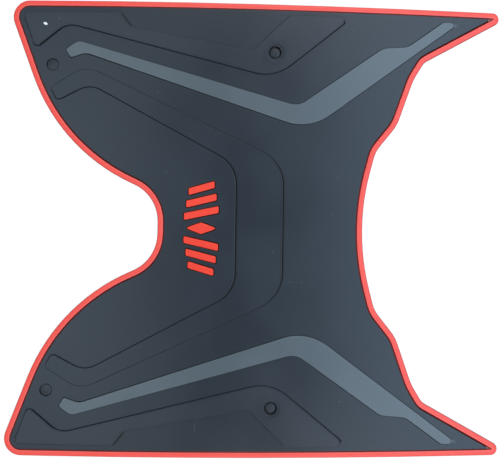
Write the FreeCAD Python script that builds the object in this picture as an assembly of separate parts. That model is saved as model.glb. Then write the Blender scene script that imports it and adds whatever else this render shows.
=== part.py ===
import FreeCAD, Part
import math
import os

# A moulded rubber floor mat for a scooter's footboard, lying flat with its underside on z = 0.
# The drawing runs back (+x) from the sharp front corners and out (+y) from the centre line, and the
# other half is its mirror image. Sizes are in millimetres, angles in degrees.
# A value ending in _back is a distance behind the front corners, one ending in _ahead is a distance
# in front of the rear tips, one ending in _out is a distance from the centre line, one ending in _inside
# is a distance in from the nearer corner of the mat's side, one ending in _beyond is a distance further
# out than the side panel's valley, and one ending in _round is a corner radius seen from above.

# Outer edge of the mat
front_to_rear = 473.4
front_corner_out = 209.8
front_corner_round = 15.5
rear_tip_out = 203.0
rear_tip_round = 5.9
side_crown = 5.2
side_round = 9000.0

# Notch between the two front wings, for the steering column
notch_back = 144.0
notch_out = 29.8
notch_round = 37.2
wing_back = 52.5
wing_out = 70.5
wing_round = 175.0

# Cut-out between the two rear wings, for the base of the seat
shoulder_ahead = 84.6
shoulder_out = 156.5
shoulder_round = 12.0
shoulder_slope_run = 18.9
shoulder_slope_angle = 58.8
shoulder_foot_round = 54.0
elbow_ahead = 109.3
elbow_out = 97.5
elbow_round = 41.0
hip_ahead = 128.8
hip_out = 73.2
hip_round = 29.8
waist_ahead = 140.6
waist_out = 27.3
waist_round = 210.0

# Thicknesses and edges
body_height = 3.5
body_bevel = 0.5
bevel_spare = 0.3
band_width = 6.3
band_height = 2.6
band_bevel = 1.0
band_groove = 1.0

# Raised relief: one panel along each side and a C-shaped rib across the front
relief_rise = 1.2
relief_bevel = 0.6
relief_margin = 4.6
relief_end_round = 4.0
panel_crest_back = 57.7
panel_crest_inside = 21.3
panel_crest_round = 19.0
panel_tail_angle = 39.5
panel_valley_back = 250.1
panel_valley_out = 139.7
panel_valley_round = 38.0
panel_leg_back = 318.2
panel_leg_inside = 8.4
panel_leg_round = 6.0
rib_outer_hook_back = 75.5
rib_outer_hook_inside = 60.8
rib_outer_hook_round = 23.0
rib_outer_hook_angle = 32.4
rib_outer_bend_back = 259.3
rib_outer_bend_out = 62.0
rib_outer_bend_round = 34.0
rib_hook_width = 16.9
rib_hook_lag = 4.4
rib_inner_hook_round = 21.0
rib_inner_hook_angle = 27.5
rib_bend_width = 42.8
rib_bend_lag = 3.3
rib_inner_bend_round = 30.0

# Pocket let into each side panel, open towards the side
pocket_front_back = 117.2
pocket_front_inside = 23.8
pocket_front_round = 5.0
pocket_front_lean = 38.5
pocket_rear_back = 228.7
pocket_rear_beyond = 24.8
pocket_rear_round = 7.0
pocket_rear_lean = 46.0

# Round dimples: a domed one ahead of each stripe and a stepped one in each panel
front_dimple_back = 44.7
front_dimple_inside = 60.0
front_dimple_radius = 5.7
front_dimple_depth = 2.0
front_dimple_dome = 0.3
front_dome_radius = 4.0
rear_dimple_back = 250.3
rear_dimple_beyond = 23.7
rear_dimple_radius = 5.5
rear_dimple_depth = 2.6
rear_step_radius = 8.2
rear_step_depth = 0.4

# Grey stripes, let into the body
inlay_depth = 1.5
stripe_rise = 0.8
stripe_bevel = 0.3
stripe_end_inner_back = 61.5
stripe_end_inner_inside = 53.5
stripe_end_inner_round = 1.8
stripe_end_outer_back = 56.5
stripe_end_outer_inside = 46.0
stripe_end_outer_round = 2.2
stripe_heel_back = 67.8
stripe_heel_inside = 37.4
stripe_heel_round = 9.0
stripe_throat_back = 75.3
stripe_throat_inside = 48.8
stripe_throat_round = 14.0
stripe_knee_outer_back = 272.3
stripe_knee_outer_out = 114.0
stripe_knee_outer_round = 18.0
stripe_knee_inner_back = 282.8
stripe_knee_inner_out = 92.0
stripe_knee_inner_round = 45.0
stripe_step_ahead = 123.1
stripe_step_inside = 34.4
stripe_step_round = 14.0
stripe_neck_ahead = 100.1
stripe_neck_inside = 32.8
stripe_neck_round = 14.0
stripe_tip_inside = 9.4
stripe_tip_outer_ahead = 67.6
stripe_tip_outer_round = 5.0
stripe_tip_inner_ahead = 52.0
stripe_tip_inner_round = 3.0

# Red badge in the front panel: a lozenge with slanted bars on each side of it
badge_back = 184.3
badge_rise = 0.5
badge_bevel = 0.25
badge_corner_round = 1.2
lozenge_length = 30.0
lozenge_width = 11.0
bar_length = 32.0
bar_taper = 4.0
bar_width = 6.5
bar_slant = 7.0
bar_pitch = 11.5
first_bar_out = 14.0
bars_each_side = 3

# Working values: a length that runs clear of the mat from any point on it, the share of a straight run
# that its two corner arcs may fill, the least angle of a sharp corner and the widest gap that counts as none
clear_length = front_to_rear
arc_share = 0.98
sharp_angle = 5.0
close = 1e-4
vector = FreeCAD.Vector


def ahead(distance):
    """Place along x of something measured forward from the rear tips."""
    return front_to_rear - distance


def both_halves(half):
    """Closed outline from the corners of its upper half and their mirror images."""
    return half + mirrored(half)


def mirrored(corners):
    """The same outline on the other side of the centre line."""
    return [(x, -y, radius) for x, y, radius in reversed(corners)]


def turn_at(corners, index):
    """Unit directions in and out of a corner, and the angle that the outline turns by there."""
    before = vector(*corners[index - 1][:2])
    here = vector(*corners[index][:2])
    after = vector(*corners[(index + 1) % len(corners)][:2])
    way_in = (here - before).normalize()
    way_out = (after - here).normalize()
    return way_in, way_out, way_in.getAngle(way_out)


def setbacks(corners):
    """How far each corner's arc reaches along its runs, shortened where two arcs would overlap."""
    reaches = []
    for index, corner in enumerate(corners):
        reaches.append(corner[2] * math.tan(turn_at(corners, index)[2] / 2))
    shares = []
    for index, corner in enumerate(corners):
        following = (index + 1) % len(corners)
        run = math.dist(corner[:2], corners[following][:2])
        wanted = reaches[index] + reaches[following]
        shares.append(min(1.0, arc_share * run / max(wanted, close)))
    return [reaches[i] * min(shares[i], shares[i - 1]) for i in range(len(corners))]


def outline_face(corners):
    """Flat face inside a closed outline of straight runs joined by tangent arcs."""
    starts, arcs, ends = [], [], []
    for index, setback in enumerate(setbacks(corners)):
        here = vector(*corners[index][:2])
        way_in, way_out, turn = turn_at(corners, index)
        start = here - way_in * setback
        end = here + way_out * setback
        starts.append(start)
        ends.append(end)
        if setback < close:
            arcs.append(None)
            continue
        radius = setback / math.tan(turn / 2)
        bisector = (way_out - way_in).normalize()
        middle = here + bisector * (radius / math.cos(turn / 2) - radius)
        arcs.append(Part.Arc(start, middle, end).toShape())
    edges = []
    for index, arc in enumerate(arcs):
        if arc:
            edges.append(arc)
        following = starts[(index + 1) % len(starts)]
        edges.append(Part.LineSegment(ends[index], following).toShape())
    return Part.Face(Part.Wire(edges))


def inset(corners, distance):
    """The outline moved inwards all round: hollow corners open up and outer ones tighten.

    An outer corner stays rounder than the bevel that runs round it.
    """
    tightest = body_bevel + bevel_spare
    moved = []
    for index, (x, y, radius) in enumerate(corners):
        way_in, way_out = turn_at(corners, index)[:2]
        side_in = vector(-way_in.y, way_in.x, 0)
        side_out = vector(-way_out.y, way_out.x, 0)
        shift = (side_in + side_out) * (distance / (1 + side_in.dot(side_out)))
        hollow = way_in.cross(way_out).z < 0
        new_radius = radius + distance if hollow else max(radius - distance, tightest)
        moved.append((x + shift.x, y + shift.y, new_radius))
    return moved


def slab(face, bottom, top):
    """Solid of a flat face between two heights."""
    solid = face.extrude(vector(0, 0, top - bottom))
    solid.translate(vector(0, 0, bottom))
    return solid


def edges_at(solid, height):
    """Edges that lie wholly at one height."""
    return [e for e in solid.Edges if all(abs(v.Z - height) < close for v in e.Vertexes)]


def bevel_top(solid, height, size):
    """The solid with the edges of its top face bevelled."""
    return solid.makeChamfer(size, edges_at(solid, height))


def sharp_uprights(solid):
    """Upright edges where two side faces meet at an angle."""
    found = []
    for edge in solid.Edges:
        ends = [vertex.Point for vertex in edge.Vertexes]
        if math.dist(ends[0][:2], ends[-1][:2]) > close:
            continue
        sides = solid.ancestorsOfType(edge, Part.Face)
        place = edge.valueAt((edge.FirstParameter + edge.LastParameter) / 2)
        normals = [side.normalAt(*side.Surface.parameter(place)) for side in sides]
        if len(normals) == 2 and normals[0].getAngle(normals[1]) > math.radians(sharp_angle):
            found.append(edge)
    return found


def raised(face):
    """One raised area of the relief, with rounded ends and a bevelled top edge."""
    top = body_height + relief_rise
    solid = slab(face, body_height / 2, top)
    solid = solid.makeFillet(relief_end_round, sharp_uprights(solid))
    return bevel_top(solid, top, relief_bevel)


def polar(angle, length):
    """Step of a given length at an angle from the x axis."""
    return length * math.cos(math.radians(angle)), length * math.sin(math.radians(angle))


# Outlines
slope_back, slope_drop = polar(shoulder_slope_angle, shoulder_slope_run)
mat_outline = both_halves([
    (notch_back, notch_out, notch_round),
    (wing_back, wing_out, wing_round),
    (0.0, front_corner_out, front_corner_round),
    (front_to_rear / 2, (front_corner_out + rear_tip_out) / 2 + side_crown, side_round),
    (front_to_rear, rear_tip_out, rear_tip_round),
    (ahead(shoulder_ahead), shoulder_out, shoulder_round),
    (ahead(shoulder_ahead) - slope_back, shoulder_out - slope_drop, shoulder_foot_round),
    (ahead(elbow_ahead), elbow_out, elbow_round),
    (ahead(hip_ahead), hip_out, hip_round),
    (ahead(waist_ahead), waist_out, waist_round),
])
mat_outline.reverse()
body_outline = inset(mat_outline, band_width)
relief_limit = outline_face(inset(body_outline, relief_margin))

panel_crest_out = front_corner_out - panel_crest_inside
panel_leg_out = rear_tip_out - panel_leg_inside
tail_back, tail_drop = polar(panel_tail_angle, clear_length)
panel_outline = [
    (panel_crest_back - tail_back, panel_crest_out - tail_drop, 0.0),
    (panel_crest_back, panel_crest_out, panel_crest_round),
    (panel_valley_back, panel_valley_out, panel_valley_round),
    (panel_leg_back, panel_leg_out, panel_leg_round),
    (panel_leg_back, panel_leg_out + clear_length, 0.0),
    (panel_crest_back - tail_back, panel_crest_out + clear_length, 0.0),
]
pocket_front_out = front_corner_out - pocket_front_inside
pocket_rear_out = panel_valley_out + pocket_rear_beyond
pocket_front_run, pocket_depth = polar(90 + pocket_front_lean, clear_length)
pocket_rear_run, pocket_rise = polar(90 - pocket_rear_lean, clear_length)
pocket_outline = [
    (pocket_front_back, pocket_front_out, pocket_front_round),
    (pocket_rear_back, pocket_rear_out, pocket_rear_round),
    (pocket_rear_back + pocket_rear_run, pocket_rear_out + pocket_rise, 0.0),
    (pocket_front_back + pocket_front_run, pocket_front_out + pocket_depth, 0.0),
]
rib_outer_hook_out = front_corner_out - rib_outer_hook_inside
# The rib's two hooks run on past the front edge, but never as far as the centre line.
hook_run = rib_outer_hook_out
outer_run, outer_drop = polar(rib_outer_hook_angle, hook_run)
inner_run, inner_drop = polar(rib_inner_hook_angle, hook_run)
rib_outer_line = both_halves([
    (rib_outer_hook_back - outer_run, rib_outer_hook_out - outer_drop, 0.0),
    (rib_outer_hook_back, rib_outer_hook_out, rib_outer_hook_round),
    (rib_outer_bend_back, rib_outer_bend_out, rib_outer_bend_round),
])
rib_inner_hook_back = rib_outer_hook_back + rib_hook_lag
rib_inner_hook_out = rib_outer_hook_out - rib_hook_width
rib_inner_bend_back = rib_outer_bend_back - rib_bend_width
rib_inner_bend_out = rib_outer_bend_out - rib_bend_lag
rib_inner_line = both_halves([
    (rib_inner_hook_back - inner_run, rib_inner_hook_out - inner_drop, 0.0),
    (rib_inner_hook_back, rib_inner_hook_out, rib_inner_hook_round),
    (rib_inner_bend_back, rib_inner_bend_out, rib_inner_bend_round),
])
stripe_outline = [
    (stripe_end_inner_back, front_corner_out - stripe_end_inner_inside, stripe_end_inner_round),
    (stripe_throat_back, front_corner_out - stripe_throat_inside, stripe_throat_round),
    (stripe_knee_inner_back, stripe_knee_inner_out, stripe_knee_inner_round),
    (ahead(stripe_tip_inner_ahead), rear_tip_out - stripe_tip_inside, stripe_tip_inner_round),
    (ahead(stripe_tip_outer_ahead), rear_tip_out - stripe_tip_inside, stripe_tip_outer_round),
    (ahead(stripe_neck_ahead), rear_tip_out - stripe_neck_inside, stripe_neck_round),
    (ahead(stripe_step_ahead), rear_tip_out - stripe_step_inside, stripe_step_round),
    (stripe_knee_outer_back, stripe_knee_outer_out, stripe_knee_outer_round),
    (stripe_heel_back, front_corner_out - stripe_heel_inside, stripe_heel_round),
    (stripe_end_outer_back, front_corner_out - stripe_end_outer_inside, stripe_end_outer_round),
]


def badge_outlines():
    """Outlines of the lozenge and of the slanted bars on both sides of it."""
    half = lozenge_length / 2
    lozenge = [
        (badge_back - half, 0.0, badge_corner_round),
        (badge_back, -lozenge_width / 2, badge_corner_round),
        (badge_back + half, 0.0, badge_corner_round),
        (badge_back, lozenge_width / 2, badge_corner_round),
    ]
    shapes = [lozenge]
    for number in range(bars_each_side):
        half = (bar_length - bar_taper * number) / 2
        middle = first_bar_out + bar_pitch * number
        front, rear = middle - bar_slant / 2, middle + bar_slant / 2
        bar = [
            (badge_back - half, front - bar_width / 2, badge_corner_round),
            (badge_back + half, rear - bar_width / 2, badge_corner_round),
            (badge_back + half, rear + bar_width / 2, badge_corner_round),
            (badge_back - half, front + bar_width / 2, badge_corner_round),
        ]
        shapes += [bar, mirrored(bar)]
    return shapes


def inlay(outline, rise, bevel):
    """A coloured piece let into the body, standing a little above its surface."""
    top = body_height + rise
    return bevel_top(slab(outline_face(outline), body_height - inlay_depth, top), top, bevel)


def seat(outline):
    """The recess in the body that an inlaid piece fills."""
    return slab(outline_face(outline), body_height - inlay_depth, body_height + relief_rise)


def round_recess(back, out, surface, steps):
    """Cutter for a round recess: a stack of drums, each a radius and a depth below the surface."""
    top = surface + relief_rise
    cutter = Part.Shape()
    for radius, depth in steps:
        floor = surface - depth
        drum = Part.makeCylinder(radius, top - floor, vector(back, out, floor))
        cutter = drum if cutter.isNull() else cutter.fuse(drum)
    return cutter


def front_dimple(out):
    """Round recess with a low dome on its floor."""
    drum = round_recess(front_dimple_back, out, body_height, [(front_dimple_radius, front_dimple_depth)])
    ball = (front_dome_radius ** 2 + front_dimple_dome ** 2) / (2 * front_dimple_dome)
    floor = body_height - front_dimple_depth
    dome = Part.makeSphere(ball, vector(front_dimple_back, out, floor + front_dimple_dome - ball))
    return drum.cut(dome)


def rear_dimple(out):
    """Round recess with a shallow step round its mouth."""
    steps = [(rear_step_radius, rear_step_depth), (rear_dimple_radius, rear_dimple_depth)]
    return round_recess(rear_dimple_back, out, body_height + relief_rise, steps)


def make_body():
    """The black mat with its relief, dimples and the seats of the coloured pieces."""
    body = bevel_top(slab(outline_face(body_outline), 0, body_height), body_height, body_bevel)
    for flip in (list, mirrored):
        panel = outline_face(flip(panel_outline)).common(relief_limit)
        panel = panel.cut(outline_face(flip(pocket_outline)))
        for face in panel.Faces:
            body = body.fuse(raised(face))
    rib = outline_face(rib_outer_line).common(relief_limit).cut(outline_face(rib_inner_line))
    for face in rib.Faces:
        body = body.fuse(raised(face))
    cutters = [seat(stripe_outline), seat(mirrored(stripe_outline))]
    cutters += [seat(outline) for outline in badge_outlines()]
    for side in (1, -1):
        cutters.append(front_dimple(side * (front_corner_out - front_dimple_inside)))
        cutters.append(rear_dimple(side * (panel_valley_out + rear_dimple_beyond)))
    for cutter in cutters:
        body = body.cut(cutter)
    return body.removeSplitter()


def make_band():
    """The red band: a low ledge round the body, bevelled outside and where it meets the body."""
    solid = bevel_top(slab(outline_face(mat_outline), 0, band_height), band_height, band_bevel)
    solid = solid.cut(slab(outline_face(body_outline), 0, band_height))
    seam = outline_face(body_outline).OuterWire
    seam.translate(vector(0, 0, band_height))
    rims = []
    for edge in edges_at(solid, band_height):
        middle = Part.Vertex(edge.valueAt((edge.FirstParameter + edge.LastParameter) / 2))
        if seam.distToShape(middle)[0] < close:
            rims.append(edge)
    return solid.makeChamfer(band_groove, rims)


pieces = {
    "mat_body": make_body(),
    "edge_band": make_band(),
    "grip_stripe_right": inlay(stripe_outline, stripe_rise, stripe_bevel),
    "grip_stripe_left": inlay(mirrored(stripe_outline), stripe_rise, stripe_bevel),
    "badge_bars": Part.makeCompound([inlay(o, badge_rise, badge_bevel) for o in badge_outlines()]),
}

# The origin is under the middle of the mat.
box = pieces["edge_band"].BoundBox
os.makedirs("parts", exist_ok=True)
for name, shape in pieces.items():
    shape.translate(vector(-box.Center.x, -box.Center.y, 0))
    shape.exportStep("parts/" + name + ".step")
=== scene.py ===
import math
from collections import Counter

import bmesh
import bpy
import numpy as np
from mathutils import Color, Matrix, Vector
from mathutils.geometry import delaunay_2d_cdt


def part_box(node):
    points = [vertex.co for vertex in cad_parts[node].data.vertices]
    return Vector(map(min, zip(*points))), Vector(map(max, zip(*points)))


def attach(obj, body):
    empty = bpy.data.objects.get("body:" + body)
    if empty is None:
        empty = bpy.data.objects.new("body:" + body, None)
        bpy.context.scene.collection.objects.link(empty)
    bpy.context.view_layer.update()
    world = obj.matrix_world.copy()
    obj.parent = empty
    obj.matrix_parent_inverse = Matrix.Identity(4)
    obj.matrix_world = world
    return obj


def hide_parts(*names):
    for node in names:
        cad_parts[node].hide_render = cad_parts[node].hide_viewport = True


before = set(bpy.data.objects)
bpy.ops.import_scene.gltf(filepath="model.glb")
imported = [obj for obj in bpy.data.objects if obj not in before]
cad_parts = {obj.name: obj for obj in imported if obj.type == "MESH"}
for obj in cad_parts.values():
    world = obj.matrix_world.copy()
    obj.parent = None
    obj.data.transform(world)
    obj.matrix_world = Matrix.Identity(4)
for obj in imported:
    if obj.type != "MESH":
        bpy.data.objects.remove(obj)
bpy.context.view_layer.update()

# Mat body
# The black sheet itself, soft rubber pressed in a hot mould, which lies loose. It has a raised panel along
# each side with a pocket in it, a C-shaped rib across the front, seats for the coloured shots of rubber
# and four round dimples.
mm = 0.001
weld = 0.001 * mm
# How far a level face may lie from its height, and the least upward part of its normal
level_slack = 0.01 * mm
level_least = 0.999


def welded(node):
    """A node's solid with the corners that its faces share joined up again."""
    solid = bmesh.new()
    solid.from_mesh(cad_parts[node].data)
    bmesh.ops.remove_doubles(solid, verts=solid.verts, dist=weld)
    solid.normal_update()
    for parts in (solid.verts, solid.faces):
        parts.index_update()
        parts.ensure_lookup_table()
    return solid


def level_faces(solid, facing):
    """The solid's level faces: those that face up for a facing of 1, and down for -1."""
    return [face for face in solid.faces if facing * face.normal.z > level_least]


def outlines(solid, height, facing=1):
    """Plan outlines round the level faces at one height, and those of gaps in them, all anticlockwise."""
    flat = {}
    for face in level_faces(solid, facing):
        if abs(face.calc_center_median().z - height) < level_slack:
            flat[face.index] = face
    following = {}
    for index, face in flat.items():
        for corner in face.loops:
            neighbours = [other.index for other in corner.edge.link_faces if other.index != index]
            if not any(other in flat for other in neighbours):
                following[corner.vert.index] = corner.link_loop_next.vert.index
    rims, gaps = [], []
    while following:
        here = next(iter(following))
        ring = []
        while here in following:
            ring.append(solid.verts[here].co.xy)
            here = following.pop(here)
        ring = np.array(ring)
        x, y = ring.T
        turned = np.sum(x * np.roll(y, -1) - y * np.roll(x, -1))
        if turned < 0:
            ring = ring[::-1]
        (rims if turned * facing > 0 else gaps).append(ring)
    return rims, gaps


point_step = 4.0 * mm


def spaced(outline):
    """The outline with points added along its straight runs."""
    points = []
    for here, after in zip(outline, np.roll(outline, -1, axis=0)):
        count = max(1, math.ceil(np.linalg.norm(after - here) / point_step))
        points += [here + (after - here) * share / count for share in range(count)]
    return np.array(points)


def moved_in(outline, distance):
    """The outline with its sides moved inwards by a distance, the same all round or one for each point."""
    ahead = np.roll(outline, -1, axis=0) - outline
    ahead /= np.linalg.norm(ahead, axis=1)[:, None]
    left = np.column_stack([-ahead[:, 1], ahead[:, 0]])
    before = np.roll(left, 1, axis=0)
    spread = 1 + np.sum(left * before, axis=1)
    return outline + (left + before) * (distance / spread)[:, None]


def headings(outline):
    """For each point of an outline, the direction in which the outline runs there."""
    along = np.roll(outline, -1, axis=0) - np.roll(outline, 1, axis=0)
    return along / np.linalg.norm(along, axis=1)[:, None]


# How open a rim is: evenly all round, more to the front and less to the rear, and a little more inwards
# It also sets how dark the painted shade is round seats, inlaid edges and dimples
rim_evenly, rim_frontward, rim_inward = 0.7, 0.7, 0.1


def facing_front(outline):
    """For each point of an outline, from 0 to 1, how far its side looks to the front of the mat."""
    along = headings(outline)
    inward = np.sign(outline[:, 1]) * along[:, 0]
    return np.clip(rim_evenly - rim_frontward * along[:, 1] + rim_inward * inward, 0, 1)


def inside(points, outline):
    """For each point, whether it lies within an outline."""
    crossings = np.zeros(len(points), int)
    for (x0, y0), (x1, y1) in zip(outline, np.roll(outline, -1, axis=0)):
        spans = (points[:, 1] < y0) != (points[:, 1] < y1)
        if spans.any():
            crossing = x0 + (points[:, 1] - y0) / (y1 - y0) * (x1 - x0)
            crossings += spans & (points[:, 0] < crossing)
    return crossings % 2 == 1


# Painted tones of a surface, from the darkest painted shade in a crease to a painted highlight on an edge
deep, dusky, shaded, faint, plain, paler_top, painted_highlight = -1.0, -0.7, -0.5, -0.25, 0.0, 0.1, 0.5
# Directions in a section, in degrees, where insets grow inwards and heights upwards
down, outwards, up = 270, 180, 90
arc_steps = 5


def arc(centre, radius, start, end, first_tone=plain, last_tone=plain):
    """Points of a section's round, as insets, heights and tones, between two directions."""
    points = []
    for share in np.linspace(0, 1, arc_steps + 1):
        angle = math.radians(start + (end - start) * share)
        tone = first_tone + (last_tone - first_tone) * share
        points.append((centre[0] + radius * math.cos(angle), centre[1] + radius * math.sin(angle), tone))
    return points


grid_step = 6.0 * mm
grid_row_step = grid_step * math.sqrt(3) / 2
grid_clearance = 0.6 * grid_step


def grid_points(rim, gaps):
    """Points of an even grid of triangles that lie within a rim, outside the gaps and clear of both."""
    low, high = rim.min(axis=0), rim.max(axis=0)
    points = []
    for row, y in enumerate(np.arange(low[1], high[1], grid_row_step)):
        offset = (row % 2) * grid_step / 2
        points += [(x, y) for x in np.arange(low[0] + offset, high[0], grid_step)]
    points = np.array(points).reshape(-1, 2)
    keep = inside(points, rim)
    for gap in gaps:
        keep &= ~inside(points, gap)
    points = points[keep]
    edges = np.concatenate([rim, *gaps])
    nearest = [np.linalg.norm(edges - point, axis=1).min() for point in points]
    return points[np.array(nearest) > grid_clearance]


# The kind of triangulation that keeps only the triangles within its loops
within_loops = 1


class Skin:
    """A closed surface put together from rings of points, with walls between rings and flats inside them.

    Each point has a painted tone: below 0 for painted shade in creases and recesses, 0 on plain surfaces,
    and above 0 where it is painted paler, up to a painted highlight.
    """

    def __init__(self):
        self.points = []
        self.tones = []
        self.faces = []

    def ring(self, outline, height, tone=plain):
        """New points along an outline, with one height and tone all round or one of each for each point."""
        first = len(self.points)
        heights = np.broadcast_to(height, len(outline))
        self.points += [(x, y, z) for (x, y), z in zip(outline, heights)]
        self.tones += list(np.broadcast_to(tone, len(outline)))
        return list(range(first, len(self.points)))

    def wall(self, outer, inner):
        """Faces from a ring to the next one, which lies above it or inside it."""
        self.faces += zip(outer, outer[1:] + outer[:1], inner[1:] + inner[:1], inner)

    def section(self, outline, steps):
        """A section of insets, heights and tones swept round an outline. Gives its first and last rings."""
        rings = [self.ring(moved_in(outline, inset), height, tone) for inset, height, tone in steps]
        for outer, inner in zip(rings, rings[1:]):
            self.wall(outer, inner)
        return rings[0], rings[-1]

    def flat(self, rim, gaps=(), facing=1, tone=plain):
        """Level triangles within a rim and outside the gaps, over an even grid of points."""
        rings = [rim, *gaps]
        plans = [np.array([self.points[i][:2] for i in ring]) for ring in rings]
        grid = grid_points(plans[0], plans[1:])
        height = self.points[rim[0]][2]
        names = [i for ring in rings for i in ring] + self.ring(grid, height, tone)
        coords = [Vector(point) for point in np.concatenate([*plans, grid])]
        loops, first = [], 0
        for ring in rings:
            loops.append(list(range(first, first + len(ring))))
            first += len(ring)
        places, _, triangles, sources, _, owners = delaunay_2d_cdt(coords, [], loops, within_loops, weld)
        assert len(places) == len(coords), "two outlines cross"
        # The rim is loop 0, so a triangle that no other loop holds lies in no gap
        for triangle, owner in zip(triangles, owners):
            if owner == [0]:
                self.faces.append([names[sources[i][0]] for i in triangle[::facing]])

    def piece(self, name):
        """The finished surface as an object."""
        mesh = bpy.data.meshes.new(name)
        mesh.from_pydata(self.points, [], [tuple(face) for face in self.faces])
        mesh.shade_smooth()
        mesh.attributes.new("tone", "FLOAT", "POINT").data.foreach_set("value", self.tones)
        made = bpy.data.objects.new(name, mesh)
        bpy.context.scene.collection.objects.link(made)
        return made


# The sheet's own top is the level with the most area, and the raised areas end at the highest level
body_solid = welded("mat_body")
level_digits = 2
level_area = Counter()
for level_face in level_faces(body_solid, 1):
    level = round(level_face.calc_center_median().z / mm, level_digits)
    level_area[level] += level_face.calc_area()
base_level = level_area.most_common(1)[0][0] * mm
crest_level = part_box("mat_body")[1].z
base_gaps = outlines(body_solid, base_level)[1]
crest_rims, rear_dimples = outlines(body_solid, crest_level)
relief_feet = [gap for gap in base_gaps if any(inside(rim[:1], gap)[0] for rim in crest_rims)]
round_slack = 0.01


def is_round(outline):
    """Whether an outline is a circle."""
    reach = np.linalg.norm(outline - outline.mean(axis=0), axis=1)
    return reach.std() < round_slack * reach.mean()


front_dimples = [gap for gap in base_gaps if is_round(gap)]

# The sheet's sides and underside. A narrow level strip beside each round holds the flats' shading level
body_edge_round = 0.45 * mm
body_under_round = 0.4 * mm
hold = 0.25 * mm
body_skin = Skin()
body_under_centre = (body_under_round, body_under_round)
body_edge_centre = (body_edge_round, base_level - body_edge_round)
# Painted shade darkens the sheet's sides, fading out over the rounds at the top and the underside
body_section = arc(body_under_centre, body_under_round, down, outwards, plain, deep)
body_section += arc(body_edge_centre, body_edge_round, outwards, up, deep, plain)
body_section += [(body_edge_round + hold, base_level, plain)]
under_rim, top_rim = body_skin.section(spaced(outlines(body_solid, 0, -1)[0][0]), body_section)
body_skin.flat(under_rim, facing=-1)

# Shares of the full crease: everywhere, added on sides that look along the mat, and added on inward sides
crease_least, crease_lengthwise, crease_inward = 0.15, 1.0, 0.12
# How far out from the mat's middle the crease starts and ends its fading, on sides that look outwards
crease_fade_start, crease_fade_end = 50 * mm, 150 * mm


def crease_share(outline):
    """For each point of a raised area's foot, the share of the full crease and of its painted shade that
    runs along it.

    It is most where the side looks along the mat, and least where it looks out over the mat's border.
    """
    along = headings(outline)
    looks_out = outline[:, 0] * along[:, 1] - outline[:, 1] * along[:, 0]
    kept = np.interp(looks_out, [crease_fade_start, crease_fade_end], [1, 0])
    return crease_least + crease_lengthwise * along[:, 1] ** 2 * kept + crease_inward * (looks_out < 0)


relief_draft = 0.06 * mm
relief_crest_round = 0.45 * mm
crest_inset = relief_draft + relief_crest_round
crest_centre = (crest_inset, crest_level - relief_crest_round)
crease_width = 0.6 * mm
crease_depth = 0.65 * mm
# The crease from its outer edge in to the wall: shares of its width and of its depth
crease_profile = [(1.0, 0.0), (0.8, 0.3), (0.4, 1.0), (0.0, 0.6)]
# The soft painted shade beside a crease, and a share of its width with the share of the darkness that is
# left there
crease_shade_width = 2.0 * mm
shade_middle, shade_middle_dark = 0.4, 0.5


def relief_section(foot, crest_tone):
    """The step up to a raised area: a crease at its foot, a steep wall and a rounded crest, with painted
    shade in the crease and beside it.
    """
    share = crease_share(foot)
    width = crease_width * share
    depth = crease_depth * share
    shade_width = hold + crease_shade_width * np.sqrt(share)
    dark = deep * np.minimum(1, share)
    steps = [
        (-width - shade_width, base_level, plain),
        (-width - shade_width * shade_middle, base_level, dark * shade_middle_dark),
    ]
    steps += [(-width * out, base_level - depth * fall, dark) for out, fall in crease_profile]
    steps += arc(crest_centre, relief_crest_round, outwards, up, dark, dark)
    return steps + [
        (crest_inset + shade_width * shade_middle, crest_level, dark * shade_middle_dark),
        (crest_inset + shade_width, crest_level, crest_tone),
    ]


def dimple(outline, level, steps, rear_share):
    """A round recess in the body, from insets, depths and tones, closed by a point in the middle.

    Its painted shade is full at the front side, and the given share of that at the rear side.
    """
    edge = spaced(outline)
    middle = outline.mean(axis=0)
    radius = np.linalg.norm(outline - middle, axis=1).mean()
    share = rear_share + (1 - rear_share) * facing_front(edge)
    walls = []
    for inset, depth, tone in steps:
        if inset * mm < radius:
            walls.append((inset * mm, level - depth * mm, tone * share))
    first, last = body_skin.section(edge, walls)
    tip = body_skin.ring([middle], walls[-1][1], steps[-1][2])[0]
    body_skin.faces += [(a, b, tip) for a, b in zip(last, last[1:] + last[:1])]
    return first


# Millimetres in from the mouth, millimetres down, and the painted shade there
front_dimple_steps = [
    (-0.4, 0.0, plain), (-0.15, 0.0, plain), (0.0, 0.08, shaded), (0.08, 0.5, shaded), (0.16, 1.2, dusky),
    (0.35, 1.7, deep), (0.7, 1.95, deep), (1.1, 2.0, deep), (1.7, 2.0, dusky), (2.6, 1.9, shaded),
    (3.6, 1.78, faint), (4.6, 1.72, plain), (5.4, 1.7, plain),
]
rear_dimple_steps = [
    (-0.4, 0.0, plain), (-0.15, 0.0, plain), (0.0, 0.06, faint), (0.1, 0.34, shaded), (0.3, 0.4, shaded),
    (0.7, 0.4, faint), (2.0, 0.4, faint), (2.2, 0.4, shaded), (2.28, 0.6, deep), (2.4, 1.2, deep),
    (2.65, 2.2, deep), (3.15, 3.4, deep), (3.5, 3.1, deep), (3.85, 2.7, deep), (4.15, 2.58, shaded),
    (5.0, 2.56, faint), (6.5, 2.5, faint), (7.9, 2.48, faint),
]
# Share of a dimple's painted shade that is left at its rear side
front_dimple_rear_share, rear_dimple_rear_share = 0.15, 1.0
top_gaps = []
for mouth in front_dimples:
    top_gaps.append(dimple(mouth, base_level, front_dimple_steps, front_dimple_rear_share))
rear_rings = []
for mouth in rear_dimples:
    rear_rings.append(dimple(mouth, crest_level, rear_dimple_steps, rear_dimple_rear_share))

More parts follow.
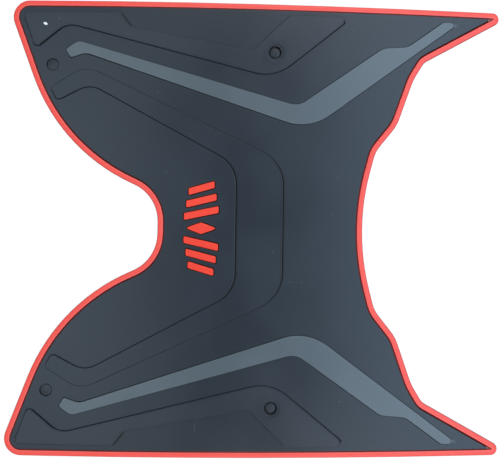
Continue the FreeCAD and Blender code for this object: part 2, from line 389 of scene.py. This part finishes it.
for foot in relief_feet:
    mouths = [ring for mouth, ring in zip(rear_dimples, rear_rings) if inside(mouth[:1], foot)[0]]
    # The tops of the raised panels that hold the rear dimples are painted a little paler
    crest_tone = paler_top if mouths else plain
    edge = spaced(foot)
    outer, crest = body_skin.section(edge, relief_section(edge, crest_tone))
    top_gaps.append(outer)
    body_skin.flat(crest, mouths, tone=crest_tone)

# The lip round a seat is narrow and shallow on a closed side, and wide and deep on an open one
narrow_lip = 0.12 * mm
wide_lip = 0.6 * mm
lip_drop = 0.6 * mm
lip_least_drop = 0.3
lip_foot_drop = 1.2
# The lip from its outer edge in: shares of its width, of its drop, and the painted shade there
lip_profile = [(1.0, 0.0, shaded), (0.6, 0.35, deep), (0.2, 1.0, deep)]
# How open the seats of each inlaid piece are at the least, where 1 is a full lip
rim_least = {"grip_stripe_right": 0.0, "grip_stripe_left": 0.0, "badge_bars": 1.6}
inlay_outlines = {}
for inlay, least in rim_least.items():
    seat_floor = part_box(inlay)[0].z
    inlay_outlines[inlay] = outlines(welded(inlay), seat_floor, -1)[0]
    for rim in inlay_outlines[inlay]:
        edge = spaced(rim)
        # How open a side is sets its lip and how dark its painted shade is, darker on sides that look to
        # the front
        open_side = np.maximum(facing_front(edge), least)
        lip = narrow_lip + (wide_lip - narrow_lip) * open_side
        drop = lip_drop * (lip_least_drop + (1 - lip_least_drop) * open_side)
        steps = [(-lip - hold, base_level, plain)]
        for out, fall, tone in lip_profile:
            steps.append((-lip * out, base_level - drop * fall, tone * open_side))
        steps += [(0, base_level - drop * lip_foot_drop, deep), (0, seat_floor, deep)]
        outer, floor_rim = body_skin.section(edge, steps)
        top_gaps.append(outer)
        body_skin.flat(floor_rim)

body_skin.flat(top_rim, top_gaps)
mat_body = body_skin.piece("moulded_mat")


class Shade:
    """A value in a material. Sums, differences and products of values add Math nodes."""

    def __init__(self, tree, socket=None):
        self.tree = tree
        self.socket = socket

    def node(self, kind, settings=None, inputs=None, output=0):
        """A new node: its settings are set first, then the values or links of its sockets."""
        made = self.tree.nodes.new("ShaderNode" + kind)
        for name, value in (settings or {}).items():
            setattr(made, name, value)
        for key, value in (inputs or {}).items():
            if isinstance(value, Shade):
                self.tree.links.new(value.socket, made.inputs[key])
            else:
                made.inputs[key].default_value = value
        return Shade(self.tree, made.outputs[output])

    def math(self, operation, first, second):
        """A Math node on two values."""
        return self.node("Math", {"operation": operation}, {0: first, 1: second})

    def __add__(self, other):
        return self.math("ADD", self, other)

    def __sub__(self, other):
        return self.math("SUBTRACT", self, other)

    def __rsub__(self, other):
        return self.math("SUBTRACT", other, self)

    def __mul__(self, other):
        return self.math("MULTIPLY", self, other)

    __radd__ = __add__
    __rmul__ = __mul__


def colour(red, green, blue):
    """A colour given as it shows on a screen, from 0 to 255, as the light that it reflects."""
    shown = Color((red / 255, green / 255, blue / 255))
    return (*shown.from_srgb_to_scene_linear(), 1)


def noise(place, form):
    """Cloudy noise from 0 to 1."""
    return place.node("TexNoise", {}, {"Vector": place, **form})


def ramp(value, low, high):
    """A value as it goes from 0 at low to 1 at high, eased at both ends."""
    settings = {"interpolation_type": "SMOOTHSTEP"}
    return value.node("MapRange", settings, {"Value": value, "From Min": low, "From Max": high})


# Places of the factor, the two colours and the result among a Mix node's sockets
mix_factor, mix_first, mix_second, mix_result = 0, 6, 7, 2


def blend(factor, first, second):
    """A colour between two colours."""
    inputs = {mix_factor: factor, mix_first: first, mix_second: second}
    return factor.node("Mix", {"data_type": "RGBA"}, inputs, mix_result)


# The rubber's clouds, mould grain and pores, with their scales in blotches to the metre
cloud_noise = {"Scale": 14, "Detail": 3.0, "Roughness": 0.5}
grain_noise = {"Scale": 1500, "Detail": 2.0, "Roughness": 0.6}
pore_noise = {"Scale": 420, "Detail": 1.0, "Roughness": 0.5}
cloud_low, noise_middle, cloud_high = 0.3, 0.5, 0.7
# What each of them adds to the mix of the two tones, to the roughness and to the relief
cloud_tint, grain_tint, pore_tint = 0.7, 0.2, 0.1
cloud_roughness, grain_roughness = 0.06, 0.12
grain_relief, pore_relief = 0.7, 0.3
relief_strength = 0.6
# How far a painted highlight turns white, how far painted shade turns dark, and the share of the dark tone
# left in the shade
highlight_strength, painted_shade_strength, painted_shade_tint = 0.05, 0.85, 0.1
white = (1, 1, 1, 1)


def rubber(name, dark, pale, roughness, reflection, grain_height, marked=None):
    """A moulded rubber: two tones in soft clouds, painted shade in creases and recesses, painted highlights
    and paler tops, and a fine mould grain.
    """
    material = bpy.data.materials.new(name)
    material.use_nodes = True
    tree = material.node_tree
    shade = Shade(tree)
    place = shade.node("TexCoord", output="Object")
    tone = shade.node("Attribute", {"attribute_name": "tone"}, output="Fac")
    clouds = ramp(noise(place, cloud_noise), cloud_low, cloud_high)
    grain = noise(place, grain_noise)
    pores = noise(place, pore_noise)
    base = blend(clouds * cloud_tint + grain * grain_tint + pores * pore_tint, dark, pale)
    if marked:
        base = marked(place, base)
    base = blend(ramp(tone, plain, painted_highlight) * highlight_strength, base, white)
    painted_shade_colour = (*[painted_shade_tint * part for part in dark[:3]], 1)
    base = blend(ramp(tone, plain, deep) * painted_shade_strength, base, painted_shade_colour)
    rough = roughness + clouds * cloud_roughness + (grain - noise_middle) * grain_roughness
    relief = grain * grain_relief + pores * pore_relief
    bumps = {"Strength": relief_strength, "Distance": grain_height, "Height": relief}
    normal = shade.node("Bump", {}, bumps)
    shader = tree.nodes["Principled BSDF"]
    tree.links.new(base.socket, shader.inputs["Base Color"])
    tree.links.new(rough.socket, shader.inputs["Roughness"])
    tree.links.new(normal.socket, shader.inputs["Normal"])
    shader.inputs["Specular IOR Level"].default_value = reflection
    return material


# Share of the mat's height that a mark reaches down, which leaves the underside clean
mark_reach = 0.99


def mark(place, x, y, length, width, turn, softness):
    """1 inside an oval mark on the top, easing to 0 at its rim, in millimetres and degrees."""
    inputs = {
        "Location": (x * mm, y * mm, crest_level),
        "Rotation": (0, 0, math.radians(turn)),
        "Scale": (length * mm / 2, width * mm / 2, crest_level * mark_reach),
        "Vector": place,
    }
    local = place.node("Mapping", {"vector_type": "TEXTURE"}, inputs)
    reach = place.node("VectorMath", {"operation": "LENGTH"}, {0: local}, "Value")
    return ramp(reach, 1, 1 - softness)


dust = colour(168, 176, 182)
chalk = colour(236, 238, 240)
# Specks of dust, as places in millimetres, each turned some degrees on from the one before
specks = [
    (-181.7, 192.2), (-90.0, 125.9), (90.6, 184.8), (129.2, 115.9), (77.3, 48.1), (71.8, 14.8),
    (-80.4, 51.4), (18.2, -20.6), (34.6, -48.2), (45.1, -48.8), (82.7, -119.4), (96.2, -147.8),
    (103.4, -156.5), (80.9, -156.8),
]
speck_length, speck_width, speck_turn, speck_softness = 1.5, 1.0, 40, 0.7
# Other marks, each as its place, length, width, turn and the softness of its rim
scratch = (-51.1, -181.6, 14, 0.8, 90, 0.8)
smudges = [(184.4, 190.8, 9, 5, 0, 0.9), (184.4, -191.1, 9, 5, 0, 0.9)]
fleck = (-194.6, 187.4, 4.8, 2.8, -25, 0.4)
speck_strength, scratch_strength, smudge_strength = 0.4, 0.18, 0.12


def soiled(place, base):
    """The black rubber's specks of dust, a scratch, a pale smudge behind each stripe and a chalky fleck."""
    for number, (x, y) in enumerate(specks):
        speck = mark(place, x, y, speck_length, speck_width, speck_turn * number, speck_softness)
        base = blend(speck * speck_strength, base, dust)
    base = blend(mark(place, *scratch) * scratch_strength, base, dust)
    for smudge in smudges:
        base = blend(mark(place, *smudge) * smudge_strength, base, dust)
    return blend(mark(place, *fleck), base, chalk)


black_rubber = rubber(
    "black_rubber", dark=colour(23, 32, 41), pale=colour(28, 38, 47),
    roughness=0.3, reflection=0.52, grain_height=0.04 * mm, marked=soiled,
)
mat_body.data.materials.append(black_rubber)
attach(mat_body, "root")
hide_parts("mat_body")

# Edge band
# The red border, a second shot of rubber moulded round the body as a low ledge with a rounded outer edge
# and a narrow groove where it meets the black.
band_under_round = 0.4 * mm
# The top of the band's section, from its outer side: shares of its width, of its height, and the painted
# tone there
# Painted shade darkens the outer round and the groove, and a painted highlight runs near the inner edge
band_crown = [
    (0.0, 0.5, deep), (0.02, 0.66, deep), (0.06, 0.79, shaded), (0.12, 0.88, plain), (0.22, 0.95, plain),
    (0.36, 0.99, plain), (0.5, 1.0, plain), (0.64, 0.99, plain), (0.71, 0.97, painted_highlight), (0.76, 0.94, painted_highlight),
    (0.80, 0.86, shaded), (0.83, 0.74, deep), (0.9, 0.64, deep), (1.0, 0.6, deep),
]
band_outline = outlines(welded("edge_band"), 0, -1)[0][0]
band_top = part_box("edge_band")[1].z
band_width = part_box("edge_band")[1].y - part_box("mat_body")[1].y
band_skin = Skin()
band_section = arc((band_under_round, band_under_round), band_under_round, down, outwards)
band_section += [(band_width * share, band_top * rise, tone) for share, rise, tone in band_crown]
band_section += [(band_width, 0, deep)]
outer_ring, inner_ring = band_skin.section(spaced(band_outline), band_section)
band_skin.wall(inner_ring, outer_ring)
edge_band = band_skin.piece("red_edge_band")
red_rubber = rubber(
    "red_rubber", dark=colour(246, 73, 60), pale=colour(251, 82, 69),
    roughness=0.4, reflection=0.5, grain_height=0.03 * mm,
)
edge_band.data.materials.append(red_rubber)
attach(edge_band, "root")
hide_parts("edge_band")

# Grip stripes
# Two bent grey stripes, a harder shot of rubber let into seats in the body, standing a little proud of it
# so that they grip the sole.
stripe_edge_round = 0.35 * mm
seat_play = 0.03 * mm


def inlaid(name, node, edge_round):
    """A coloured piece that fills its seats in the body, with rounded upper edges, painted shade on its
    sides and on the edges that look to the front.
    """
    low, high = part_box(node)
    skin = Skin()
    inset = seat_play + edge_round
    for rim in inlay_outlines[node]:
        edge = spaced(rim)
        steps = [(seat_play, low.z, deep), (seat_play, base_level - lip_drop, deep)]
        edge_shade = shaded * facing_front(edge)
        steps += arc((inset, high.z - edge_round), edge_round, outwards, up, edge_shade, plain)
        steps += [(inset + hold, high.z, plain)]
        foot, crest = skin.section(edge, steps)
        skin.flat(foot, facing=-1)
        skin.flat(crest)
    return skin.piece(name)


grey_rubber = rubber(
    "grey_rubber", dark=colour(75, 86, 91), pale=colour(81, 92, 97),
    roughness=0.3, reflection=0.65, grain_height=0.04 * mm,
)
for side in ("right", "left"):
    stripe = inlaid("grey_grip_stripe_" + side, "grip_stripe_" + side, stripe_edge_round)
    stripe.data.materials.append(grey_rubber)
    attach(stripe, "root")
    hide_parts("grip_stripe_" + side)

# Badge
# A plain ornament of a lozenge and six slanted bars, made of red rubber. Each is let into a seat of its
# own in the front panel, as the stripes are in theirs, and stands a little proud of it.
badge_edge_round = 0.45 * mm
badge = inlaid("red_badge_bars", "badge_bars", badge_edge_round)
red_inlay = rubber(
    "red_inlay", dark=colour(240, 52, 24), pale=colour(248, 62, 32),
    roughness=0.45, reflection=0.5, grain_height=0.03 * mm,
)
badge.data.materials.append(red_inlay)
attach(badge, "root")
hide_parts("badge_bars")

# Floor, light and camera
# A white floor that the mat lies flat on, a dim white sky, a wide softbox overhead behind the mat and a
# weaker one ahead of it, a soft lamp off to each side, and a camera almost straight above the middle.
floor_reach = 2.0
floor_drop = 0.2 * mm
floor_grey = 0.85
floor_roughness = 0.9
# The floor's own glow as the camera and reflections see it, and its share of what they see
floor_glow, floor_glow_share = 1.09, 0.75
floor_corners = [(-1, -1), (1, -1), (1, 1), (-1, 1)]
floor_points = [(x * floor_reach, y * floor_reach, -floor_drop) for x, y in floor_corners]
floor_mesh = bpy.data.meshes.new("floor")
floor_mesh.from_pydata(floor_points, [], [(0, 1, 2, 3)])
floor = bpy.data.objects.new("floor", floor_mesh)
bpy.context.scene.collection.objects.link(floor)
floor_white = bpy.data.materials.new("floor_white")
floor_white.use_nodes = True
floor_tree = floor_white.node_tree
floor_shader = floor_tree.nodes["Principled BSDF"]
floor_shader.inputs["Base Color"].default_value = (floor_grey, floor_grey, floor_grey, 1)
floor_shader.inputs["Roughness"].default_value = floor_roughness
floor_shade = Shade(floor_tree)
floor_seen = floor_shade.node("LightPath", output="Is Camera Ray")
for ray in ("Is Glossy Ray", "Is Transmission Ray"):
    floor_seen = floor_seen + floor_shade.node("LightPath", output=ray)
glow = floor_shade.node("Emission", {}, {"Color": white, "Strength": floor_glow})
lit = Shade(floor_tree, floor_shader.outputs[0])
floor_look = floor_shade.node("MixShader", {}, {0: floor_seen * floor_glow_share, 1: lit, 2: glow})
floor_tree.links.new(floor_look.socket, floor_tree.nodes["Material Output"].inputs["Surface"])
floor_mesh.materials.append(floor_white)

# The sky is white where the camera sees it, and dim as a light
sky_light = 0.2
world = bpy.data.worlds.new("soft_daylight")
bpy.context.scene.world = world
world.use_nodes = True
sky = world.node_tree.nodes["Background"]
sky.inputs["Color"].default_value = white
sky_seen = Shade(world.node_tree).node("LightPath", output="Is Camera Ray")
sky_strength = sky_light + sky_seen * (1 - sky_light)
world.node_tree.links.new(sky_strength.socket, sky.inputs["Strength"])

softbox_height = 1.2


def softbox(name, front, rear, width, turn, power, tint):
    """A level soft lamp overhead, between two places along the mat's length."""
    data = bpy.data.lights.new(name, "AREA")
    data.shape = "RECTANGLE"
    data.size = rear - front
    data.size_y = width
    data.energy = power
    data.color = tint
    lamp = bpy.data.objects.new(name, data)
    lamp.location = ((front + rear) / 2, 0, softbox_height)
    lamp.rotation_euler.z = math.radians(turn)
    bpy.context.scene.collection.objects.link(lamp)


softbox("rear_softbox", front=0.25, rear=1.4, width=1.8, turn=3, power=18.1, tint=(0.58, 0.77, 1.0))
softbox("front_softbox", front=-0.95, rear=-0.3, width=1.3, turn=0, power=4.8, tint=(0.71, 0.87, 1.0))

side_lamp_size = 0.9
side_lamp_back, side_lamp_out, side_lamp_height = 0.12, 1.2, 1.1


def side_lamp(name, side, power):
    """A soft lamp that stands off to the right for a side of 1, or to the left for -1, aimed at the mat."""
    data = bpy.data.lights.new(name, "AREA")
    data.size = side_lamp_size
    data.energy = power
    lamp = bpy.data.objects.new(name, data)
    lamp.location = (side_lamp_back, side * side_lamp_out, side_lamp_height)
    lamp.rotation_euler = (-lamp.location).to_track_quat("-Z", "Y").to_euler()
    bpy.context.scene.collection.objects.link(lamp)


side_lamp("right_lamp", side=1, power=7.8)
side_lamp("left_lamp", side=-1, power=8.2)

# The sensor and the lens are in millimetres, and the tilt and the turn in degrees
camera_sensor, camera_lens = 36, 46.8
camera_place = (-2.7 * mm, -16.7 * mm, 600.8 * mm)
camera_tilt, camera_turn = 1.42, 0.80
camera_data = bpy.data.cameras.new("camera")
camera_data.sensor_width = camera_sensor
camera_data.lens = camera_lens
camera = bpy.data.objects.new("camera", camera_data)
camera.location = camera_place
camera.rotation_euler = (math.radians(camera_tilt), 0, math.radians(camera_turn))
bpy.context.scene.collection.objects.link(camera)
bpy.context.scene.camera = camera
bpy.context.scene.view_settings.view_transform = "Standard"
